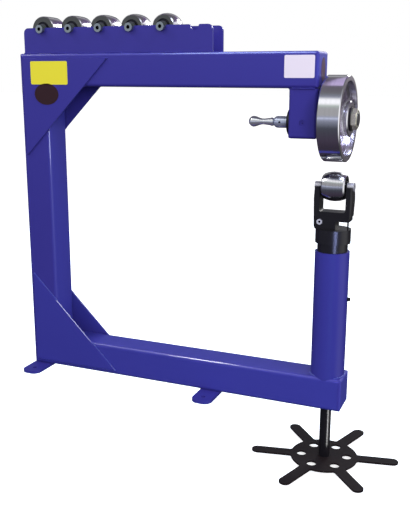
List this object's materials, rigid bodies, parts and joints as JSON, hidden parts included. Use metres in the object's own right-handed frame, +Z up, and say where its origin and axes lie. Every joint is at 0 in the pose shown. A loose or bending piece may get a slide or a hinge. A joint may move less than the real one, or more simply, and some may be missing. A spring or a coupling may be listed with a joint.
{
  "type": "english wheel",
  "caption": "Welded C-frame sheet-forming machine: a large wheel on a quick-release eccentric axle runs over a crowned anvil on a screw-raised ram, with a rack of spare anvils.",
  "frame": {"origin": "centre of the four bench bolt holes, on the feet's underside", "axes": "+X from the column towards the wheels, -Y the front, +Z up"},
  "size_m": [1.2545, 0.431, 1.3531],
  "materials": {
    "blue_powder_coat": "gloss powder coat",
    "black_oxide": "satin black oxide",
    "black_paint": "flat black",
    "dark_steel": "turned",
    "bronze": "machined",
    "chrome_plate": "polished",
    "yellow_zinc": "yellow zinc plate",
    "ground_steel": "ground and polished",
    "bearing_steel": "ground"
  },
  "bodies": {
    "frame": {"column_tube": "blue_powder_coat", "upper_arm_tube": "blue_powder_coat", "lower_arm_tube": "blue_powder_coat", "tube_caps": "blue_powder_coat", "lower_gussets": "blue_powder_coat", "upper_gussets": "blue_powder_coat", "rear_foot": "blue_powder_coat", "front_foot": "blue_powder_coat", "head_block": "blue_powder_coat", "axle_sleeve": "dark_steel", "sleeve_bushes": "bronze", "head_lock_screw": "blue_powder_coat", "rack_front_plate": "blue_powder_coat", "rack_rear_plate": "blue_powder_coat", "rack_axles": "chrome_plate", "rack_spacers": "dark_steel", "post_tube": "blue_powder_coat", "guide_screw": "black_oxide", "screw_bush": "bronze", "thrust_washer": "bronze"},
    "release": {"eccentric_axle": "dark_steel", "axle_flange": "black_oxide", "handle_hub": "chrome_plate", "release_handle": "chrome_plate", "hub_set_screw": "black_oxide", "axle_spacers": "dark_steel", "axle_washer": "chrome_plate", "axle_nut": "yellow_zinc", "wheel_bearing_inners": "bearing_steel"},
    "wheel": {"upper_wheel": "ground_steel", "wheel_bearing_outers": "bearing_steel", "wheel_bearing_balls": "bearing_steel"},
    "ram": {"ram": "black_oxide", "ram_collar": "black_oxide", "ram_nut": "bronze", "yoke": "black_oxide", "yoke_clamp_screw": "chrome_plate", "yoke_index_pin": "dark_steel", "anvil_axle": "chrome_plate", "anvil_spacers": "dark_steel"},
    "anvil": {"work_anvil": "ground_steel", "anvil_bearings": "dark_steel"},
    "adjuster": {"adjuster_screw": "black_oxide", "kick_wheel": "black_paint", "kick_washer": "dark_steel", "kick_bolt": "dark_steel"},
    "spare_1": {"spare_anvil_1": "ground_steel", "spare_bearings_1": "dark_steel"},
    "spare_2": {"spare_anvil_2": "ground_steel", "spare_bearings_2": "dark_steel"},
    "spare_3": {"spare_anvil_3": "ground_steel", "spare_bearings_3": "dark_steel"},
    "spare_4": {"spare_anvil_4": "ground_steel", "spare_bearings_4": "dark_steel"},
    "spare_5": {"spare_anvil_5": "ground_steel", "spare_bearings_5": "dark_steel"}
  },
  "joints": [
    {"name": "release_turn", "type": "hinge", "parent": "frame", "child": "release", "pos_m": [0.594, 0, 0.8602], "axis": [1, 0, 0], "range_deg": [0, 180]},
    {"name": "wheel_spin", "type": "hinge", "parent": "release", "child": "wheel", "pos_m": [0.683, 0, 0.8729], "axis": [1, 0, 0], "continuous": true},
    {"name": "adjuster_turn", "type": "hinge", "parent": "frame", "child": "adjuster", "pos_m": [0.683, 0, -0.1625], "axis": [0, 0, 1], "range_deg": [-177, 1700]},
    {"name": "ram_slide", "type": "slide", "parent": "frame", "child": "ram", "axis": [0, 0, 1], "range_m": [-0.024, 0.0025]},
    {"name": "anvil_spin", "type": "hinge", "parent": "ram", "child": "anvil", "pos_m": [0.683, 0, 0.68135], "axis": [1, 0, 0], "continuous": true},
    {"name": "spare_spin_1", "type": "hinge", "parent": "frame", "child": "spare_1", "pos_m": [-0.265, 0, 1.1312], "axis": [0, 1, 0], "continuous": true},
    {"name": "spare_spin_2", "type": "hinge", "parent": "frame", "child": "spare_2", "pos_m": [-0.1596, 0, 1.1312], "axis": [0, 1, 0], "continuous": true},
    {"name": "spare_spin_3", "type": "hinge", "parent": "frame", "child": "spare_3", "pos_m": [-0.0542, 0, 1.1312], "axis": [0, 1, 0], "continuous": true},
    {"name": "spare_spin_4", "type": "hinge", "parent": "frame", "child": "spare_4", "pos_m": [0.0512, 0, 1.1312], "axis": [0, 1, 0], "continuous": true},
    {"name": "spare_spin_5", "type": "hinge", "parent": "frame", "child": "spare_5", "pos_m": [0.1566, 0, 1.1312], "axis": [0, 1, 0], "continuous": true}
  ],
  "couplings": [
    {"joint": "ram_slide", "follows": "adjuster_turn", "m_per_rad": -0.00080851}
  ]
}
